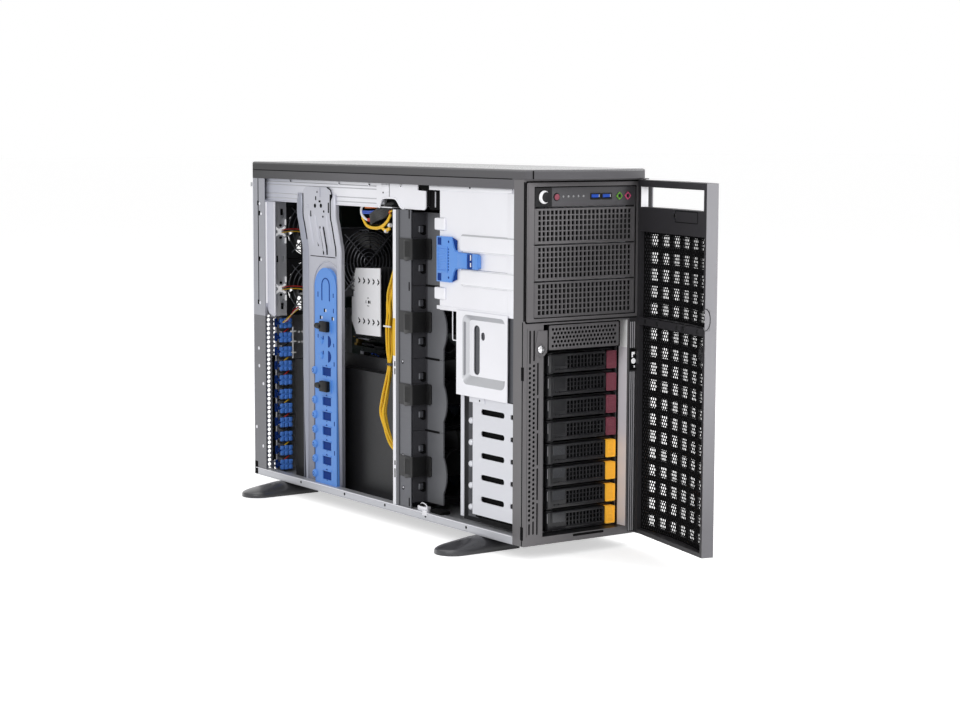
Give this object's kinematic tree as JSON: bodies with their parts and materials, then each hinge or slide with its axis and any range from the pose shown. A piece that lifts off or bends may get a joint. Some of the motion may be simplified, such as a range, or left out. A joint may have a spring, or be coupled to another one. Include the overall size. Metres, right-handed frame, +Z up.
{
  "type": "tower gpu server",
  "caption": "Tower server case with its service side open: hot-swap drive trays behind a swinging mesh door, a fan wall, redundant power supplies and a card retainer.",
  "frame": {"origin": "centre of the bounding box's bottom face, on the floor under the feet", "axes": "+X to the right seen from the front, front faces -Y, +Z up; door stored open"},
  "size_m": [0.3, 0.8512, 0.462],
  "materials": {
    "case_steel": "dark powder coat",
    "cap_plastic": "fine moulded grain",
    "foot_plastic": "fine moulded grain",
    "bezel_plastic": "fine moulded grain",
    "door_plastic": "fine moulded grain",
    "mesh_steel": "black coat",
    "bright_steel": "bare sheet",
    "bar_steel": "light grey coat",
    "blue_plastic": "plain moulding",
    "black_plastic": "plain moulding",
    "fan_plastic": "plain moulding",
    "tray_plastic": "plain moulding",
    "maroon_plastic": "plain moulding",
    "orange_plastic": "plain moulding",
    "button_plastic": "polished moulding",
    "lock_metal": "plated",
    "board_green": "solder mask",
    "cooler_metal": "bare fins",
    "psu_metal": "bare sheet housing",
    "cable_cover": "soft cover"
  },
  "bodies": {
    "case": {"chassis": "case_steel", "top_cap": "cap_plastic", "front_bezel": "bezel_plastic", "feet": "foot_plastic", "psu_cage": "bright_steel", "upper_cage": "bright_steel", "lower_cage": "bright_steel", "circuit_boards": "board_green", "cpu_coolers": "cooler_metal", "fan_wall": "bright_steel", "fan_housings": "fan_plastic", "slot_covers": "bright_steel", "control_panel": "bezel_plastic", "bay_covers": "bezel_plastic", "cables": "cable_cover", "air_guide": "black_plastic", "card_bar": "bar_steel", "card_retainer": "blue_plastic"},
    "door": {"door_panel": "door_plastic", "door_mesh": "mesh_steel"},
    "door_lock": {"door_lock": "lock_metal"},
    "slot_clips": {"slot_clips": "blue_plastic"},
    "cage_latch": {"cage_latch": "blue_plastic"},
    "power_button": {"power_button": "button_plastic"},
    "reset_button": {"reset_button": "maroon_plastic"},
    "fan_rotor_1": {"fan_rotor_1": "fan_plastic"},
    "fan_rotor_2": {"fan_rotor_2": "fan_plastic"},
    "fan_rotor_3": {"fan_rotor_3": "fan_plastic"},
    "fan_rotor_4": {"fan_rotor_4": "fan_plastic"},
    "rear_fan_rotor_1": {"rear_fan_rotor_1": "fan_plastic"},
    "rear_fan_rotor_2": {"rear_fan_rotor_2": "fan_plastic"},
    "cooler_fan_rotor": {"cooler_fan_rotor": "fan_plastic"},
    "psu_module_1": {"psu_module_1": "psu_metal"},
    "psu_module_2": {"psu_module_2": "psu_metal"},
    "card_plunger_1": {"card_plunger_1": "black_plastic"},
    "card_plunger_2": {"card_plunger_2": "black_plastic"},
    "drive_tray_1": {"drive_tray_1": "tray_plastic"},
    "tray_lever_1": {"tray_lever_1": "tray_plastic"},
    "tray_release_1": {"tray_release_1": "maroon_plastic"},
    "drive_tray_2": {"drive_tray_2": "tray_plastic"},
    "tray_lever_2": {"tray_lever_2": "tray_plastic"},
    "tray_release_2": {"tray_release_2": "maroon_plastic"},
    "drive_tray_3": {"drive_tray_3": "tray_plastic"},
    "tray_lever_3": {"tray_lever_3": "tray_plastic"},
    "tray_release_3": {"tray_release_3": "maroon_plastic"},
    "drive_tray_4": {"drive_tray_4": "tray_plastic"},
    "tray_lever_4": {"tray_lever_4": "tray_plastic"},
    "tray_release_4": {"tray_release_4": "maroon_plastic"},
    "drive_tray_5": {"drive_tray_5": "tray_plastic"},
    "tray_lever_5": {"tray_lever_5": "tray_plastic"},
    "tray_release_5": {"tray_release_5": "orange_plastic"},
    "drive_tray_6": {"drive_tray_6": "tray_plastic"},
    "tray_lever_6": {"tray_lever_6": "tray_plastic"},
    "tray_release_6": {"tray_release_6": "orange_plastic"},
    "drive_tray_7": {"drive_tray_7": "tray_plastic"},
    "tray_lever_7": {"tray_lever_7": "tray_plastic"},
    "tray_release_7": {"tray_release_7": "orange_plastic"},
    "drive_tray_8": {"drive_tray_8": "tray_plastic"},
    "tray_lever_8": {"tray_lever_8": "tray_plastic"},
    "tray_release_8": {"tray_release_8": "orange_plastic"}
  },
  "joints": [
    {"name": "door_hinge", "type": "hinge", "parent": "case", "child": "door", "pos_m": [0.0835, -0.25636, 0.234], "axis": [0, 0, 1], "range_deg": [-77, 33]},
    {"name": "door_lock_turn", "type": "hinge", "parent": "door", "child": "door_lock", "pos_m": [0.04676, -0.41106, 0.251], "axis": [-0.9744, 0.225, 0], "range_deg": [0, 90]},
    {"name": "slot_clip_swing", "type": "hinge", "parent": "case", "child": "slot_clips", "pos_m": [-0.059, 0.38964, 0.13], "axis": [0, 0, -1], "range_deg": [0, 80]},
    {"name": "cage_latch_slide", "type": "slide", "parent": "case", "child": "cage_latch", "axis": [0, -1, 0], "range_m": [0, 0.006]},
    {"name": "power_press", "type": "slide", "parent": "case", "child": "power_button", "axis": [0, 1, 0], "range_m": [0, 0.0015], "stiffness_N_per_m": 800},
    {"name": "reset_press", "type": "slide", "parent": "case", "child": "reset_button", "axis": [0, 1, 0], "range_m": [0, 0.001], "stiffness_N_per_m": 800},
    {"name": "fan_spin_1", "type": "hinge", "parent": "case", "child": "fan_rotor_1", "pos_m": [-0.017, 0.01414, 0.0802], "axis": [0, 1, 0], "continuous": true},
    {"name": "fan_spin_2", "type": "hinge", "parent": "case", "child": "fan_rotor_2", "pos_m": [-0.017, 0.01414, 0.1727], "axis": [0, 1, 0], "continuous": true},
    {"name": "fan_spin_3", "type": "hinge", "parent": "case", "child": "fan_rotor_3", "pos_m": [-0.017, 0.01414, 0.2652], "axis": [0, 1, 0], "continuous": true},
    {"name": "fan_spin_4", "type": "hinge", "parent": "case", "child": "fan_rotor_4", "pos_m": [-0.017, 0.01414, 0.3577], "axis": [0, 1, 0], "continuous": true},
    {"name": "rear_fan_spin_1", "type": "hinge", "parent": "case", "child": "rear_fan_rotor_1", "pos_m": [-0.01, 0.38594, 0.3652], "axis": [0, 1, 0], "continuous": true},
    {"name": "rear_fan_spin_2", "type": "hinge", "parent": "case", "child": "rear_fan_rotor_2", "pos_m": [-0.01, 0.38594, 0.2842], "axis": [0, 1, 0], "continuous": true},
    {"name": "cooler_fan_spin", "type": "hinge", "parent": "case", "child": "cooler_fan_rotor", "pos_m": [-0.023, 0.21214, 0.329], "axis": [0, 1, 0], "continuous": true},
    {"name": "psu_slide_1", "type": "slide", "parent": "case", "child": "psu_module_1", "axis": [0, 1, 0], "range_m": [0, 0.15]},
    {"name": "psu_slide_2", "type": "slide", "parent": "case", "child": "psu_module_2", "axis": [0, 1, 0], "range_m": [0, 0.15]},
    {"name": "plunger_slide_1", "type": "slide", "parent": "case", "child": "card_plunger_1", "axis": [-1, 0, 0], "range_m": [0, 0.008]},
    {"name": "plunger_slide_2", "type": "slide", "parent": "case", "child": "card_plunger_2", "axis": [-1, 0, 0], "range_m": [0, 0.008]},
    {"name": "tray_slide_1", "type": "slide", "parent": "case", "child": "drive_tray_1", "axis": [0, -1, 0], "range_m": [0, 0.06]},
    {"name": "lever_swing_1", "type": "hinge", "parent": "drive_tray_1", "child": "tray_lever_1", "pos_m": [-0.037, -0.22786, 0.23085], "axis": [0, 0, -1], "range_deg": [0, 60]},
    {"name": "release_press_1", "type": "slide", "parent": "drive_tray_1", "child": "tray_release_1", "axis": [0, 1, 0], "range_m": [0, 0.002], "stiffness_N_per_m": 600},
    {"name": "tray_slide_2", "type": "slide", "parent": "case", "child": "drive_tray_2", "axis": [0, -1, 0], "range_m": [0, 0.06]},
    {"name": "lever_swing_2", "type": "hinge", "parent": "drive_tray_2", "child": "tray_lever_2", "pos_m": [-0.037, -0.22786, 0.20355], "axis": [0, 0, -1], "range_deg": [0, 60]},
    {"name": "release_press_2", "type": "slide", "parent": "drive_tray_2", "child": "tray_release_2", "axis": [0, 1, 0], "range_m": [0, 0.002], "stiffness_N_per_m": 600},
    {"name": "tray_slide_3", "type": "slide", "parent": "case", "child": "drive_tray_3", "axis": [0, -1, 0], "range_m": [0, 0.06]},
    {"name": "lever_swing_3", "type": "hinge", "parent": "drive_tray_3", "child": "tray_lever_3", "pos_m": [-0.037, -0.22786, 0.17625], "axis": [0, 0, -1], "range_deg": [0, 60]},
    {"name": "release_press_3", "type": "slide", "parent": "drive_tray_3", "child": "tray_release_3", "axis": [0, 1, 0], "range_m": [0, 0.002], "stiffness_N_per_m": 600},
    {"name": "tray_slide_4", "type": "slide", "parent": "case", "child": "drive_tray_4", "axis": [0, -1, 0], "range_m": [0, 0.06]},
    {"name": "lever_swing_4", "type": "hinge", "parent": "drive_tray_4", "child": "tray_lever_4", "pos_m": [-0.037, -0.22786, 0.14895], "axis": [0, 0, -1], "range_deg": [0, 60]},
    {"name": "release_press_4", "type": "slide", "parent": "drive_tray_4", "child": "tray_release_4", "axis": [0, 1, 0], "range_m": [0, 0.002], "stiffness_N_per_m": 600},
    {"name": "tray_slide_5", "type": "slide", "parent": "case", "child": "drive_tray_5", "axis": [0, -1, 0], "range_m": [0, 0.06]},
    {"name": "lever_swing_5", "type": "hinge", "parent": "drive_tray_5", "child": "tray_lever_5", "pos_m": [-0.037, -0.22786, 0.12165], "axis": [0, 0, -1], "range_deg": [0, 60]},
    {"name": "release_press_5", "type": "slide", "parent": "drive_tray_5", "child": "tray_release_5", "axis": [0, 1, 0], "range_m": [0, 0.002], "stiffness_N_per_m": 600},
    {"name": "tray_slide_6", "type": "slide", "parent": "case", "child": "drive_tray_6", "axis": [0, -1, 0], "range_m": [0, 0.06]},
    {"name": "lever_swing_6", "type": "hinge", "parent": "drive_tray_6", "child": "tray_lever_6", "pos_m": [-0.037, -0.22786, 0.09435], "axis": [0, 0, -1], "range_deg": [0, 60]},
    {"name": "release_press_6", "type": "slide", "parent": "drive_tray_6", "child": "tray_release_6", "axis": [0, 1, 0], "range_m": [0, 0.002], "stiffness_N_per_m": 600},
    {"name": "tray_slide_7", "type": "slide", "parent": "case", "child": "drive_tray_7", "axis": [0, -1, 0], "range_m": [0, 0.06]},
    {"name": "lever_swing_7", "type": "hinge", "parent": "drive_tray_7", "child": "tray_lever_7", "pos_m": [-0.037, -0.22786, 0.06705], "axis": [0, 0, -1], "range_deg": [0, 60]},
    {"name": "release_press_7", "type": "slide", "parent": "drive_tray_7", "child": "tray_release_7", "axis": [0, 1, 0], "range_m": [0, 0.002], "stiffness_N_per_m": 600},
    {"name": "tray_slide_8", "type": "slide", "parent": "case", "child": "drive_tray_8", "axis": [0, -1, 0], "range_m": [0, 0.06]},
    {"name": "lever_swing_8", "type": "hinge", "parent": "drive_tray_8", "child": "tray_lever_8", "pos_m": [-0.037, -0.22786, 0.03975], "axis": [0, 0, -1], "range_deg": [0, 60]},
    {"name": "release_press_8", "type": "slide", "parent": "drive_tray_8", "child": "tray_release_8", "axis": [0, 1, 0], "range_m": [0, 0.002], "stiffness_N_per_m": 600}
  ]
}
